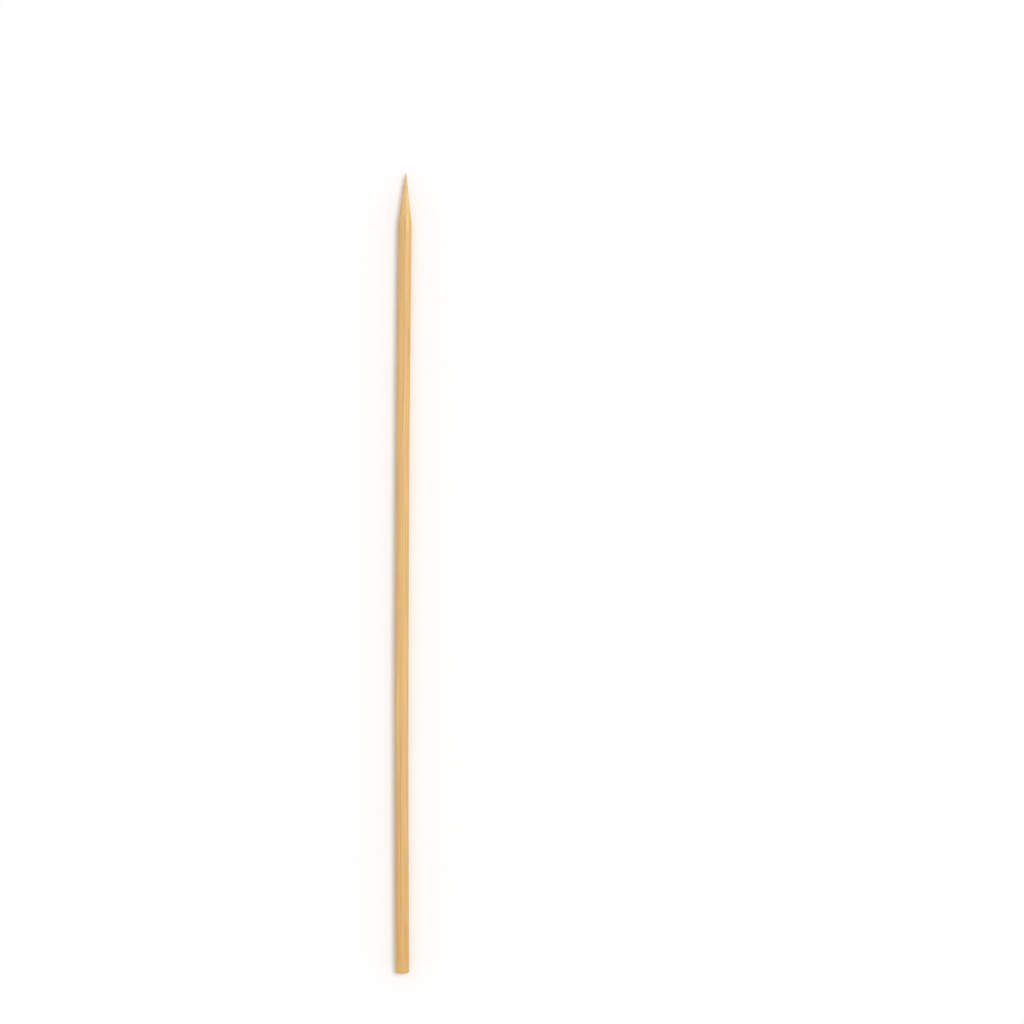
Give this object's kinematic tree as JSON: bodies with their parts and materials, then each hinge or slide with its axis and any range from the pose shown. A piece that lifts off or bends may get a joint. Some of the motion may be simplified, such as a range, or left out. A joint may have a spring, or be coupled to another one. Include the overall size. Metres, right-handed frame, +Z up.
{
  "type": "bamboo skewer",
  "caption": "Round bamboo skewer, a straight-grained rod cut square at its butt and ground to a long sharp point.",
  "frame": {"origin": "on the surface that the skewer lies on, under the middle of its box", "axes": "+X along the rod from the butt towards the point, +Z up, the rod's slight bow bulging towards +Y"},
  "size_m": [0.2, 0.0038, 0.0034],
  "materials": {
    "bamboo": "fine lengthwise grain, planed and tumbled, satin"
  },
  "bodies": {
    "root": {"skewer": "bamboo"}
  },
  "joints": []
}
